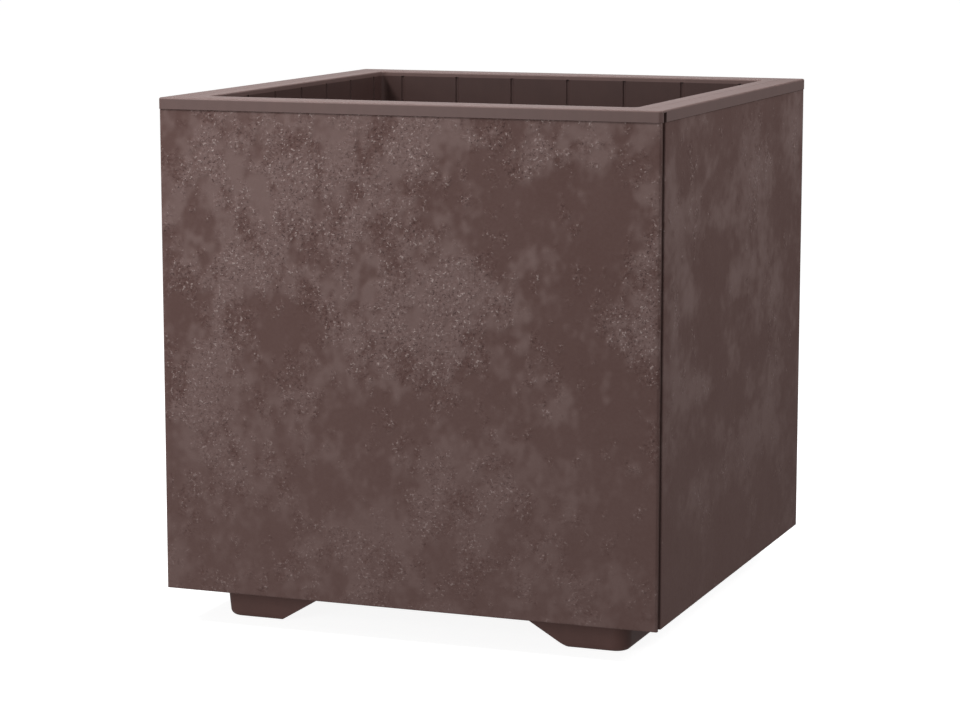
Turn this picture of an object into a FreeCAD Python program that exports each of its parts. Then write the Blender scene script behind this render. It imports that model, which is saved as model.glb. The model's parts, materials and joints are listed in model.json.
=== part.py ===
import FreeCAD, Part
import os
import re

import Sketcher
from FreeCAD import Placement, Rotation, Vector

# Square planter box: four panels slide onto corner posts and stand round a base tray on four
# feet, a one-piece rim frame caps them, and a ribbed liner pot with four drain plugs hangs in
# the rim.  Origin on the ground under the middle of the box, +X right, -Y front, +Z up.

DIMENSIONS = (
    ("width", 395, "rim band, left to right"),
    ("depth", 395, "rim band, front to back"),
    ("height", 403, "ground to rim top"),
    ("foot_height", 27, "ground to the panels' lower edge"),
    ("panel_wall", 3, "panel thickness"),
    ("band_proud", 0.6, "rim band stands proud of the panels"),
    ("band_height", 8.5, "rim band height"),
    ("band_gap", 0.3, "shadow line between band and panel shoulder"),
    ("seam_gap", 6.5, "shadow gap beside each capped corner"),
    ("notch_cover", 1.5, "rim left over the corner notch"),
    ("rim_plate", 3, "rim top thickness"),
    ("rim_visible", 28.5, "rim band to the liner's inner face"),
    ("apron_wall", 2.2, "rim band thickness"),
    ("ledge_thick", 2.8, "rim ledge under the liner flange"),
    ("ledge_lap", 3, "ledge overlap under the rim top"),
    ("rim_corner", 3, "rim's outer corner radius in plan"),
    ("rim_edge", 1.4, "rim's top edge radius"),
    ("fit_gap", 0.3, "clearance between parts that come apart"),
    ("tongue_wall", 1.3, "panel tongue behind the rim band"),
    ("panel_edge", 1.8, "corner radius of a capping panel"),
    ("panel_rib", 2, "panel rib thickness"),
    ("panel_rib_depth", 6, "panel rib depth"),
    ("sill_depth", 4, "panel sill that carries the tray"),
    ("sill_thick", 3, "panel sill thickness"),
    ("rail_set", 22, "corner to the middle of a dovetail rail"),
    ("rail_neck", 6, "dovetail width at the panel"),
    ("rail_tip", 9, "dovetail width at its tip"),
    ("rail_depth", 5, "dovetail depth"),
    ("rail_gap", 0.2, "dovetail clearance"),
    ("post_leg", 36, "corner post leg length"),
    ("post_wall", 9, "corner post leg thickness"),
    ("boss_set", 18, "corner to the post's screw axis"),
    ("boss_half", 6, "half width of the post's screw boss"),
    ("boss_trim", 4, "bevel on the post's screw boss"),
    ("floor_recess", 6, "panels' lower edge to the tray's underside"),
    ("tray_plate", 3, "tray floor thickness"),
    ("upstand", 12, "tray rim height"),
    ("upstand_wall", 3, "tray rim thickness"),
    ("tray_rib", 3, "tray rib thickness"),
    ("tray_rib_depth", 5, "tray rib depth"),
    ("drain_bore", 10, "tray drain hole diameter"),
    ("drain_pitch", 35, "tray centre to a drain hole"),
    ("drain_reach", 120, "tray centre to an outer drain hole"),
    ("foot_inset", 32, "rim band to a foot's outer side"),
    ("foot_length", 92.5, "foot's outer side to the end of its slope"),
    ("foot_depth", 66, "foot's outer side to its steep far side"),
    ("foot_taper", 2.5, "inward lean of a foot's steep sides"),
    ("foot_tread", 48.5, "foot's outer side to the end of its tread"),
    ("foot_corner", 12, "foot's outer corner radius"),
    ("foot_edge", 5, "foot's tread edge radius"),
    ("foot_wall", 8, "foot's outer wall"),
    ("foot_sole", 5, "foot's sole thickness"),
    ("foot_screw_near", 16, "foot's outer side to the near screw axis"),
    ("foot_screw_far", 60, "foot's outer side to the far screw axis"),
    ("screw_shank", 3.8, "screw diameter"),
    ("screw_pilot", 4, "hole that a screw bites in"),
    ("screw_pass", 4.4, "hole that a screw passes"),
    ("screw_head", 7, "screw head diameter"),
    ("screw_sink", 1.8, "countersunk head depth"),
    ("screw_pan", 2.4, "pan head height"),
    ("screw_socket", 2.4, "width of the drive socket"),
    ("screw_length", 14, "screw length under its seat"),
    ("liner_wall", 2.5, "liner wall"),
    ("liner_flange", 12, "liner flange beyond the inner face"),
    ("liner_lip", 3.5, "plain lip above the grooves"),
    ("liner_edge", 1.3, "liner's lip edge radius"),
    ("liner_corner", 5, "liner's inner corner radius"),
    ("liner_stand", 12, "liner's standing rib height"),
    ("liner_floor", 3, "liner floor thickness"),
    ("liner_slack", 0.5, "liner ridges to the rim opening"),
    ("groove_pitch", 50, "groove to groove, and panel rib to rib"),
    ("groove_width", 3, "groove width"),
    ("groove_depth", 0.9, "groove depth"),
    ("plug_set", 105, "liner centre to a drain plug"),
    ("plug_bore", 22, "drain bore diameter"),
    ("plug_stem", 21.4, "plug stem diameter"),
    ("plug_flange", 34, "plug flange diameter"),
    ("plug_thick", 2.5, "plug flange thickness"),
    ("plug_boss", 30, "diameter of the boss round a drain bore"),
    ("plug_boss_depth", 8, "depth of the boss round a drain bore"),
    ("plug_wall", 2, "plug stem wall"),
    ("tab_length", 20, "plug's pull tab length"),
    ("tab_thick", 4, "plug's pull tab thickness"),
    ("tab_height", 9, "plug's pull tab height"),
    ("seal_section", 2.4, "seal ring section"),
    ("seal_gap", 0.1, "seal ring clearance"),
)

# Planes and levels that more than one piece works to, as formulas on the sheet.
FACE_X = "(width / 2 - band_proud)"
FACE_Y = "(depth / 2 - band_proud)"
WALL_X = "(width / 2 - band_proud - panel_wall)"
WALL_Y = "(depth / 2 - band_proud - panel_wall)"
FLOOR = "(foot_height + floor_recess)"
TRAY_TOP = "(foot_height + floor_recess + tray_plate)"
UPSTAND_TOP = f"({TRAY_TOP} + upstand)"
SHOULDER = "(height - band_height - band_gap)"
PLATE_UNDER = "(height - rim_plate)"
LEDGE_UNDER = "(height - rim_plate - ledge_thick)"
FLANGE_UNDER = "(height - rim_plate + fit_gap)"
LIP_UNDER = "(height - liner_lip)"
LINER_X = "(width / 2 - rim_visible)"
LINER_Y = "(depth / 2 - rim_visible)"
STAND_UNDER = f"({TRAY_TOP} + fit_gap)"
POT_UNDER = f"({STAND_UNDER} + liner_stand)"
POT_FLOOR = f"({POT_UNDER} + liner_floor)"

# Corners in turn from front left; each is (name, sign of x, sign of y, turn about +Z).
CORNERS = (
    ("front_left", "-1", "-1", 0),
    ("front_right", "1", "-1", 90),
    ("back_right", "1", "1", 180),
    ("back_left", "-1", "1", 270),
)

doc = FreeCAD.newDocument("planter_box")
dims = doc.addObject("Spreadsheet::Sheet", "dims")
for row, (alias, number, meaning) in enumerate(DIMENSIONS, start=1):
    dims.set(f"A{row}", meaning)
    dims.set(f"B{row}", str(number))
    dims.setAlias(f"B{row}", alias)
doc.recompute()
pieces = []


def bound(formula):
    """Write a formula's bare alias names as references to the sheet."""
    return re.sub(r"[a-z][a-z_]*", lambda name: "dims." + name.group(), formula)


def value(formula):
    """The number that a formula gives with the sheet's present sizes."""
    return float(dims.evalExpression(bound(formula)))


def new_body(label):
    """A PartDesign body that becomes a node of its own."""
    body = doc.addObject("PartDesign::Body", label)
    pieces.append(body)
    return body


def place(piece, x, y, z="0", turn=0):
    """Turn a piece about +Z and bind its place to the sheet."""
    piece.Placement = Placement(Vector(), Rotation(Vector(0, 0, 1), turn))
    for axis, formula in zip("xyz", (x, y, z)):
        piece.setExpression(f"Placement.Base.{axis}", bound(formula))


def new_sketch(body, level="0", plane="XY_Plane"):
    """An empty sketch on one of the body's origin planes, moved along its normal."""
    sketch = body.newObject("Sketcher::SketchObject", body.Label + "_sketch")
    support = next(item for item in body.Origin.OriginFeatures if item.Role == plane)
    sketch.AttachmentSupport = [(support, "")]
    sketch.MapMode = "FlatFace"
    sketch.setExpression("AttachmentOffset.Base.z", bound(level))
    return sketch


def constrain(sketch, rules):
    """Add constraints in one go; each rule is its arguments and, for a size, its formula."""
    first = len(sketch.Constraints)
    sketch.addConstraint([Sketcher.Constraint(*arguments, *([value(formula)] if formula else []))
                          for arguments, formula in rules])
    for index, (_, formula) in enumerate(rules, first):
        if formula:
            sketch.setExpression(f"Constraints[{index}]", bound(formula))


def held_at(geometry, point, x, y):
    """The rules that hold a point at two formulas, measured from the sketch's origin."""
    return [(("DistanceX", -1, 1, geometry, point), x), (("DistanceY", -1, 1, geometry, point), y)]


def draw_polygon(sketch, corners):
    """A closed outline through corners given as pairs of formulas."""
    points = [Vector(value(x), value(y), 0) for x, y in corners]
    first = sketch.GeometryCount
    lines = [Part.LineSegment(a, b) for a, b in zip(points, points[1:] + points[:1])]
    sketch.addGeometry(lines, False)
    rules = []
    for index, (x, y) in enumerate(corners):
        following = first + (index + 1) % len(corners)
        rules.append((("Coincident", first + index, 2, following, 1), None))
        rules += held_at(first + index, 1, x, y)
    constrain(sketch, rules)


def draw_box(sketch, x_low, x_high, y_low, y_high):
    """A rectangle between four formulas."""
    draw_polygon(sketch, ((x_low, y_low), (x_high, y_low), (x_high, y_high), (x_low, y_high)))


def draw_circle(sketch, x, y, diameter):
    """A circle whose centre and diameter are formulas."""
    middle = Vector(value(x), value(y), 0)
    circle = Part.Circle(middle, Vector(0, 0, 1), value(diameter) / 2)
    geometry = sketch.addGeometry(circle, False)
    constrain(sketch, [(("Diameter", geometry), diameter)] + held_at(geometry, 3, x, y))


def extrude(body, kind, sketch, length):
    """A Pad upwards or a Pocket downwards from a level sketch."""
    feature = body.newObject(f"PartDesign::{kind}", f"{body.Label}_{kind.lower()}")
    feature.Profile = sketch
    feature.setExpression("Length", bound(length))
    return feature


def block(body, kind, low, high, *boxes):
    """Pad or pocket rectangles between two levels; each is four formulas."""
    sketch = new_sketch(body, low if kind == "Pad" else high)
    for box in boxes:
        draw_box(sketch, *box)
    return extrude(body, kind, sketch, f"{high} - {low}")


def centred(body, kind, low, high, half_x, half_y):
    """Pad or pocket a centred rectangle between two levels."""
    return block(body, kind, low, high, (f"-{half_x}", half_x, f"-{half_y}", half_y))


def drill(body, low, high, diameter, spots):
    """Pocket round holes between two levels."""
    sketch = new_sketch(body, high)
    for x, y in spots:
        draw_circle(sketch, x, y, diameter)
    return extrude(body, "Pocket", sketch, f"{high} - {low}")


def countersink(body, level, spots):
    """Screw holes that go through below a level, with their heads sunk into it."""
    sketch = new_sketch(body, level)
    for x, y in spots:
        draw_circle(sketch, x, y, "screw_pass")
    doc.recompute()
    hole = body.newObject("PartDesign::Hole", body.Label + "_holes")
    hole.Profile = sketch
    hole.DepthType = "ThroughAll"
    hole.setExpression("Diameter", bound("screw_pass"))
    hole.HoleCutType = "Countersink"
    hole.HoleCutCustomValues = True
    hole.HoleCutCountersinkAngle = 90
    hole.setExpression("HoleCutDiameter", bound("screw_head + fit_gap"))
    doc.recompute()
    return hole


def round_edges(body, radius, chosen):
    """Fillet the edges of the body's last feature that a test picks."""
    doc.recompute()
    base = body.Tip
    names = [f"Edge{n}" for n, edge in enumerate(base.Shape.Edges, 1) if chosen(edge)]
    fillet = body.newObject("PartDesign::Fillet", body.Label + "_fillet")
    fillet.Base = (base, names)
    fillet.setExpression("Radius", bound(radius))
    return fillet


def upright(edge):
    """Whether an edge is straight and stands within a few degrees of +Z."""
    start, end = edge.Vertexes[0].Point, edge.Vertexes[-1].Point
    rise = abs(end.z - start.z)
    return isinstance(edge.Curve, Part.Line) and rise > 0.97 * edge.Length


def at_corner(edge, half_x, half_y, slack=0.05):
    """Whether an edge's middle lies on one of the four corners of a centred rectangle."""
    middle = edge.CenterOfMass
    off_x = abs(abs(middle.x) - value(half_x))
    off_y = abs(abs(middle.y) - value(half_y))
    return off_x < slack and off_y < slack


def corner_spots(reach_x, reach_y):
    """The four points with these reaches from the middle."""
    return [(f"{x} * {reach_x}", f"{y} * {reach_y}") for _, x, y, _ in CORNERS]


def ribs_each_way(span):
    """How many ribs at the groove pitch fit on each side of a middle one."""
    return int(value(f"{span} / groove_pitch"))


BOSS_SPOTS = corner_spots(f"({WALL_X} - boss_set)", f"({WALL_Y} - boss_set)")


def foot_screw_spots():
    """Two screw axes over each foot, as far from its two outer sides as each other's."""
    near, far = "(foot_inset + foot_screw_near)", "(foot_inset + foot_screw_far)"
    spots = []
    for _, x, y, _ in CORNERS:
        for across, along in ((near, far), (far, near)):
            spots.append((f"{x} * (width / 2 - {across})", f"{y} * (depth / 2 - {along})"))
    return spots


def rim_frame():
    """One-piece top frame: band, flat top, and a ledge that carries the liner's flange."""
    body = new_body("rim_frame")
    opening_x, opening_y = (f"({half} + liner_wall + groove_depth + liner_slack)"
                            for half in (LINER_X, LINER_Y))
    rebate_x, rebate_y = (f"({half} + liner_flange + fit_gap)" for half in (LINER_X, LINER_Y))
    band_under = "(height - band_height)"
    centred(body, "Pad", band_under, "height", "(width / 2)", "(depth / 2)")
    round_edges(body, "rim_corner", upright)
    centred(body, "Pocket", band_under, PLATE_UNDER,
            "(width / 2 - apron_wall)", "(depth / 2 - apron_wall)")
    centred(body, "Pad", LEDGE_UNDER, PLATE_UNDER,
            f"({rebate_x} + ledge_lap)", f"({rebate_y} + ledge_lap)")
    centred(body, "Pocket", PLATE_UNDER, "height", rebate_x, rebate_y)
    round_edges(body, "(liner_corner + fit_gap)", lambda edge: upright(edge)
                and at_corner(edge, rebate_x, rebate_y))
    centred(body, "Pocket", LEDGE_UNDER, PLATE_UNDER, opening_x, opening_y)
    round_edges(body, "(liner_corner + liner_wall)", lambda edge: upright(edge)
                and at_corner(edge, opening_x, opening_y))
    notches = [(f"{side} * {WALL_X}", f"{side} * (width / 2 + 1)",
                f"-({WALL_Y} - seam_gap)", f"-{WALL_Y}") for side in ("-1", "1")]
    notches += [(f"{side} * ({WALL_X} - seam_gap)", f"{side} * {WALL_X}",
                 WALL_Y, "(depth / 2 + 1)") for side in ("-1", "1")]
    block(body, "Pocket", f"({band_under} - 1)", "(height - notch_cover)", *notches)
    countersink(body, PLATE_UNDER, BOSS_SPOTS)
    top = value("height")
    outline = value("width / 2 - rim_corner"), value("depth / 2 - rim_corner")

    def top_outside(edge):
        middle = edge.CenterOfMass
        outside = abs(middle.x) > outline[0] or abs(middle.y) > outline[1]
        return outside and edge.BoundBox.ZMin > top - 0.01

    round_edges(body, "rim_edge", top_outside)


def panel(label, face_x, face_y, turn, caps_left, caps_right):
    """A wall panel, drawn with its face on y = 0 looking to -Y and its length along x.

    An end that caps its corner reaches the next panel's face and is rounded; the other kind
    stops short of the corner by the seam gap.
    """
    body = new_body(label)
    inner = "panel_wall"
    corner = WALL_X if face_x == "0" else WALL_Y
    full, short = f"({corner} + panel_wall)", f"({corner} - seam_gap)"
    left, right = (full if caps else short for caps in (caps_left, caps_right))
    block(body, "Pad", "foot_height", SHOULDER, (f"-{left}", right, "0", inner))
    if caps_left or caps_right:
        reach = value(short) + 1
        round_edges(body, "panel_edge", lambda edge: upright(edge)
                    and edge.CenterOfMass.y < 0.1 and abs(edge.CenterOfMass.x) > reach)
    tongue_left, tongue_right = (f"({end} - panel_wall - seam_gap)" for end in (left, right))
    block(body, "Pad", SHOULDER, f"({PLATE_UNDER} - fit_gap)",
          (f"-{tongue_left}", tongue_right, f"{inner} - tongue_wall", inner))
    sill = f"({corner} - post_leg - panel_rib)"
    block(body, "Pad", f"({FLOOR} - sill_thick)", FLOOR,
          (f"-{sill}", sill, inner, f"{inner} + sill_depth"))
    reach = ribs_each_way(sill)
    ribs = [(f"{n} * groove_pitch - panel_rib / 2", f"{n} * groove_pitch + panel_rib / 2",
             inner, f"{inner} + panel_rib_depth") for n in range(-reach, reach + 1)]
    block(body, "Pad", f"({UPSTAND_TOP} + 1)", SHOULDER, *ribs)
    rails = new_sketch(body, f"({UPSTAND_TOP} + 1)")
    for side in ("-1", "1"):
        middle = f"{side} * ({corner} - rail_set)"
        draw_polygon(rails, (
            (f"{middle} - rail_neck / 2", inner),
            (f"{middle} + rail_neck / 2", inner),
            (f"{middle} + rail_tip / 2", f"{inner} + rail_depth"),
            (f"{middle} - rail_tip / 2", f"{inner} + rail_depth")))
    extrude(body, "Pad", rails, f"{SHOULDER} - {UPSTAND_TOP} - 1")
    place(body, face_x, face_y, turn=turn)


def panels():
    """The front panel caps the front corners and the side panels cap the back corners."""
    panel("front_panel", "0", f"-{FACE_Y}", 0, True, True)
    panel("back_panel", "0", FACE_Y, 180, False, False)
    panel("right_panel", FACE_X, "0", 90, False, True)
    panel("left_panel", f"-{FACE_X}", "0", 270, True, False)


def corner_post(name, side, end, turn):
    """An L-shaped post, drawn from the corner of the panels' inner faces inwards."""
    body = new_body("corner_post_" + name)
    neck, tip = "(rail_neck / 2 + rail_gap)", "(rail_tip / 2 + rail_gap)"
    slot, far = "(rail_depth + rail_gap)", "(boss_set + boss_half)"
    leg = (("seam_gap", "0"), (f"rail_set - {neck}", "0"), (f"rail_set - {tip}", slot),
           (f"rail_set + {tip}", slot), (f"rail_set + {neck}", "0"), ("post_leg", "0"),
           ("post_leg", "post_wall"), (far, "post_wall"), (far, f"{far} - boss_trim"))
    mirrored = tuple((y, x) for x, y in reversed(leg))
    outline = leg + mirrored + (("seam_gap", "seam_gap"),)
    sketch = new_sketch(body, TRAY_TOP)
    draw_polygon(sketch, outline)
    extrude(body, "Pad", sketch, f"{LEDGE_UNDER} - {TRAY_TOP}")
    drill(body, TRAY_TOP, LEDGE_UNDER, "screw_pilot", [("boss_set", "boss_set")])
    place(body, f"{side} * {WALL_X}", f"{end} * {WALL_Y}", turn=turn)


def base_tray():
    """Floor plate with a low rim between the posts, ribs and corner skirts below it and drain
    holes."""
    body = new_body("base_tray")
    centred(body, "Pad", FLOOR, TRAY_TOP, WALL_X, WALL_Y)
    clear_x, clear_y = (f"({half} - post_leg - panel_rib)" for half in (WALL_X, WALL_Y))
    inner_x, inner_y = (f"({half} - upstand_wall)" for half in (WALL_X, WALL_Y))
    block(body, "Pad", TRAY_TOP, UPSTAND_TOP,
          (f"-{clear_x}", clear_x, f"-{WALL_Y}", f"-{inner_y}"),
          (f"-{clear_x}", clear_x, inner_y, WALL_Y),
          (f"-{WALL_X}", f"-{inner_x}", f"-{clear_y}", clear_y),
          (inner_x, WALL_X, f"-{clear_y}", clear_y))
    rib_under = f"({FLOOR} - tray_rib_depth)"
    end_x, end_y = (f"({half} - sill_depth - fit_gap)" for half in (WALL_X, WALL_Y))
    beside_x, beside_y = (f"({side} / 2 - foot_inset - foot_length - tray_rib - fit_gap)"
                          for side in ("width", "depth"))
    half_rib = "(tray_rib / 2)"
    for sign in ("-1", "0", "1"):
        across = f"({sign} * ({beside_y} + {half_rib}))"
        block(body, "Pad", rib_under, FLOOR,
              (f"-{end_x}", end_x, f"{across} - {half_rib}", f"{across} + {half_rib}"))
        along = f"({sign} * ({beside_x} + {half_rib}))"
        block(body, "Pad", rib_under, FLOOR,
              (f"{along} - {half_rib}", f"{along} + {half_rib}", f"-{end_y}", end_y))
    behind_x, behind_y = (f"({half} - post_wall)" for half in (WALL_X, WALL_Y))
    beyond_x, beyond_y = (f"({half} - post_leg)" for half in (WALL_X, WALL_Y))
    seam_x, seam_y = (f"({half} - seam_gap)" for half in (WALL_X, WALL_Y))
    for _, x, y, _ in CORNERS:
        block(body, "Pad", "foot_height", FLOOR,
              (f"{x} * {behind_x}", f"{x} * {WALL_X}", f"{y} * {beyond_y}", f"{y} * {seam_y}"))
        block(body, "Pad", "foot_height", FLOOR,
              (f"{x} * {beyond_x}", f"{x} * {seam_x}", f"{y} * {behind_y}", f"{y} * {WALL_Y}"))
    spots = corner_spots("drain_pitch", "drain_pitch")
    spots += corner_spots("drain_pitch", "drain_reach")
    spots += corner_spots("drain_reach", "drain_pitch")
    drill(body, FLOOR, TRAY_TOP, "drain_bore", spots)
    drill(body, FLOOR, TRAY_TOP, "screw_pass", BOSS_SPOTS)
    countersink(body, TRAY_TOP, foot_screw_spots())


def foot(name, side, end, turn):
    """A wedge foot, drawn from its outer corner: steep on three sides, sloping towards the
    foot on its left or right.  Every other foot is turned a quarter, so its slope is drawn
    along its own Y."""
    body = new_body("foot_" + name)
    along_x = turn % 180 == 0
    planes = ("XZ_Plane", "YZ_Plane") if along_x else ("YZ_Plane", "XZ_Plane")
    side_view = new_sketch(body, plane=planes[0])
    draw_polygon(side_view, (("foot_taper", "0"), ("foot_tread", "0"),
                             ("foot_length", "foot_height"), ("foot_length", FLOOR),
                             ("0", FLOOR)))
    extrude(body, "Pad", side_view, "foot_depth").Reversed = along_x
    other_view = new_sketch(body, plane=planes[1])
    draw_polygon(other_view, (("0", "0"), ("foot_taper", "0"), ("0", FLOOR)))
    draw_polygon(other_view, (("foot_depth - foot_taper", "0"), ("foot_depth", "0"),
                              ("foot_depth", FLOOR)))
    extrude(body, "Pocket", other_view, "foot_length").Reversed = along_x
    taper = value("foot_taper")

    def outer_corner(edge):
        middle = edge.CenterOfMass
        return upright(edge) and middle.x < taper + 0.1 and middle.y < taper + 0.1

    round_edges(body, "foot_corner", outer_corner)
    round_edges(body, "foot_edge", lambda edge: edge.BoundBox.ZMax < 0.01)
    block(body, "Pocket", "foot_sole", FLOOR,
          ("foot_wall", "foot_tread - foot_taper", "foot_wall", "foot_tread - foot_taper"))
    drill(body, f"({FLOOR} - screw_length)", FLOOR, "screw_pilot",
          [("foot_screw_near", "foot_screw_far"), ("foot_screw_far", "foot_screw_near")])
    place(body, f"{side} * (width / 2 - foot_inset)", f"{end} * (depth / 2 - foot_inset)",
          turn=turn)


def side_strips(body, kind, low, high, wall, base, tip):
    """Pad ridges on the liner's four sides, or pocket grooves: trapezoids at the groove pitch.

    Each starts a wall outside the liner's inner face, with half its width at the start and at
    its outer edge given by base and tip.
    """
    for half, other, across in ((LINER_Y, LINER_X, False), (LINER_X, LINER_Y, True)):
        reach = ribs_each_way(f"({other} - groove_width - liner_corner)")
        for side in ("-1", "1"):
            sketch = new_sketch(body, low if kind == "Pad" else high)
            near = f"{side} * ({half} + {wall})"
            far = f"{side} * ({half} + {wall} + groove_depth)"
            for index in range(-reach, reach + 1):
                middle = f"{index} * groove_pitch"
                outline = [(f"{middle} - {base}", near), (f"{middle} + {base}", near),
                           (f"{middle} + {tip}", far), (f"{middle} - {tip}", far)]
                draw_polygon(sketch, [(y, x) for x, y in outline] if across else outline)
            extrude(body, kind, sketch, f"{high} - {low}")


def liner_pot():
    """Inner pot: flush flange, plain lip, grooved walls, drained floor on standing ribs."""
    body = new_body("liner_pot")
    outer_x, outer_y = (f"({half} + liner_wall)" for half in (LINER_X, LINER_Y))
    flange_x, flange_y = (f"({half} + liner_flange)" for half in (LINER_X, LINER_Y))
    centred(body, "Pad", POT_UNDER, "height", outer_x, outer_y)
    round_edges(body, "(liner_corner + liner_wall)", upright)
    side_strips(body, "Pad", POT_UNDER, FLANGE_UNDER, "liner_wall",
                "(groove_width / 2 + liner_wall)", "(groove_width / 2 + liner_wall / 2)")
    centred(body, "Pad", FLANGE_UNDER, "height", flange_x, flange_y)
    round_edges(body, "liner_corner", lambda edge: upright(edge)
                and at_corner(edge, flange_x, flange_y))
    centred(body, "Pocket", POT_FLOOR, "height", LINER_X, LINER_Y)
    round_edges(body, "liner_corner", lambda edge: upright(edge)
                and at_corner(edge, LINER_X, LINER_Y))
    side_strips(body, "Pocket", POT_FLOOR, LIP_UNDER, "0",
                "(groove_width / 2)", "(groove_width / 4)")
    stand_x, stand_y = (f"({half} - liner_corner)" for half in (LINER_X, LINER_Y))
    for sign in ("-1", "0", "1"):
        across = f"({sign} * (plug_set - plug_boss / 2 - 2 * liner_wall))"
        for box in ((f"-{stand_x}", stand_x, f"{across} - liner_wall", f"{across} + liner_wall"),
                    (f"{across} - liner_wall", f"{across} + liner_wall", f"-{stand_y}", stand_y)):
            block(body, "Pad", STAND_UNDER, POT_UNDER, box)
    bosses = new_sketch(body, f"({POT_UNDER} - plug_boss_depth)")
    for x, y in corner_spots("plug_set", "plug_set"):
        draw_circle(bosses, x, y, "plug_boss")
    extrude(body, "Pad", bosses, "plug_boss_depth")
    drill(body, f"({POT_UNDER} - plug_boss_depth)", POT_FLOOR, "plug_bore",
          corner_spots("plug_set", "plug_set"))
    top = value("height")
    lip = value(f"{LINER_X} + liner_corner"), value(f"{LINER_Y} + liner_corner")

    def lip_edge(edge):
        box = edge.BoundBox
        inside = max(abs(box.XMin), abs(box.XMax)) < lip[0] and \
            max(abs(box.YMin), abs(box.YMax)) < lip[1]
        return inside and box.ZMin > top - 0.01

    round_edges(body, "liner_edge", lip_edge)


SEAL_LEVEL = f"({POT_UNDER} - plug_boss_depth / 2)"
SEAL_RADIUS = "(plug_bore / 2 - seal_gap - seal_section / 2)"


def drain_plug(name, side, end):
    """A push-in plug, drawn on its own axis: flange, hollow grooved stem and pull tab."""
    body = new_body("drain_plug_" + name)
    seat = f"({POT_FLOOR} + fit_gap)"
    crown = f"({seat} + plug_thick)"
    foot_level = f"({POT_UNDER} - plug_boss_depth)"
    groove = f"({SEAL_RADIUS} - seal_section / 2)"
    low, high = f"({SEAL_LEVEL} - seal_section / 2)", f"({SEAL_LEVEL} + seal_section / 2)"
    hollow = f"({groove} - plug_wall)"
    profile = new_sketch(body, plane="XZ_Plane")
    draw_polygon(profile, (
        ("0", crown), ("plug_flange / 2", crown), ("plug_flange / 2", seat),
        ("plug_stem / 2", seat), ("plug_stem / 2", high), (groove, high), (groove, low),
        ("plug_stem / 2", low), ("plug_stem / 2", foot_level), (hollow, foot_level),
        (hollow, POT_FLOOR), ("0", POT_FLOOR)))
    turned = body.newObject("PartDesign::Revolution", body.Label + "_turned")
    turned.Profile = profile
    turned.ReferenceAxis = (profile, ["V_Axis"])
    turned.Angle = 360
    rim = value("plug_flange / 2")
    round_edges(body, "plug_thick / 3", lambda edge: edge.BoundBox.XMax > rim - 0.01
                and edge.BoundBox.ZMin > value(crown) - 0.01)
    half = "(tab_length / 2)"
    block(body, "Pad", crown, f"({crown} + tab_height)",
          (f"-{half}", half, "-(tab_thick / 2)", "tab_thick / 2"))
    tab_top = value(f"{crown} + tab_height")
    round_edges(body, "tab_length / 5", lambda edge: edge.BoundBox.ZMin > tab_top - 0.01
                and edge.BoundBox.XLength < 0.01)
    round_edges(body, "tab_thick / 4", lambda edge: edge.BoundBox.ZMin > tab_top - 0.01
                and edge.BoundBox.YLength < 0.01)
    place(body, f"{side} * plug_set", f"{end} * plug_set")


def drain_seal(name, side, end):
    """The rubber ring in a plug's groove."""
    seal = doc.addObject("Part::Torus", "drain_seal_" + name)
    seal.setExpression("Radius1", bound(SEAL_RADIUS))
    seal.setExpression("Radius2", bound("seal_section / 2"))
    place(seal, f"{side} * plug_set", f"{end} * plug_set", SEAL_LEVEL)
    pieces.append(seal)


def primitive(kind, name, sizes):
    """A Part primitive whose named sizes are bound to formulas."""
    item = doc.addObject(kind, name)
    for size, formula in sizes.items():
        item.setExpression(size, bound(formula))
    return item


def screw(name, x, y, seat, sunk, upside_down):
    """One screw: shank below its seat, countersunk or pan head, hexagon drive socket."""
    shank = primitive("Part::Cylinder", name + "_shank",
                      {"Radius": "screw_shank / 2", "Height": "screw_length",
                       "Placement.Base.z": "-screw_length"})
    if sunk:
        head = primitive("Part::Cone", name + "_head",
                         {"Radius1": "screw_shank / 2", "Radius2": "screw_head / 2",
                          "Height": "screw_sink", "Placement.Base.z": "-screw_sink"})
        top = "0"
    else:
        head = primitive("Part::Cylinder", name + "_head",
                         {"Radius": "screw_head / 2", "Height": "screw_pan"})
        top = "screw_pan"
    socket = primitive("Part::Prism", name + "_socket",
                       {"Circumradius": "screw_socket / 2", "Height": "screw_sink",
                        "Placement.Base.z": f"{top} - screw_sink / 2"})
    body = doc.addObject("Part::Fuse", name + "_body")
    body.Base, body.Tool = shank, head
    whole = doc.addObject("Part::Cut", name)
    whole.Base, whole.Tool = body, socket
    turn = Rotation(Vector(1, 0, 0), 180 if upside_down else 0)
    whole.Placement = Placement(Vector(), turn)
    for axis, formula in zip("xyz", (x, y, seat)):
        whole.setExpression(f"Placement.Base.{axis}", bound(formula))
    return whole


def screw_group(label, spots, seat, sunk, upside_down=False):
    """Identical screws at several spots, kept together as one node."""
    group = doc.addObject("Part::Compound", label)
    group.Links = [screw(f"{label}_{number}", x, y, seat, sunk, upside_down)
                   for number, (x, y) in enumerate(spots, 1)]
    pieces.append(group)


def check_document():
    """Stop if an object failed, a piece is no valid solid, or a pocket cut nothing."""
    for item in doc.Objects:
        if {"Invalid", "Error"} & set(item.State):
            raise RuntimeError(f"{item.Label} failed to recompute")
        if item.TypeId == "PartDesign::Pocket":
            if item.Shape.Volume > item.BaseFeature.Shape.Volume - 1e-6:
                raise RuntimeError(f"{item.Label} cuts nothing")
    for piece in pieces:
        shape = piece.Shape
        if shape.isNull() or not shape.isValid() or not shape.Solids:
            raise RuntimeError(f"{piece.Label} has no valid solid")


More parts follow.
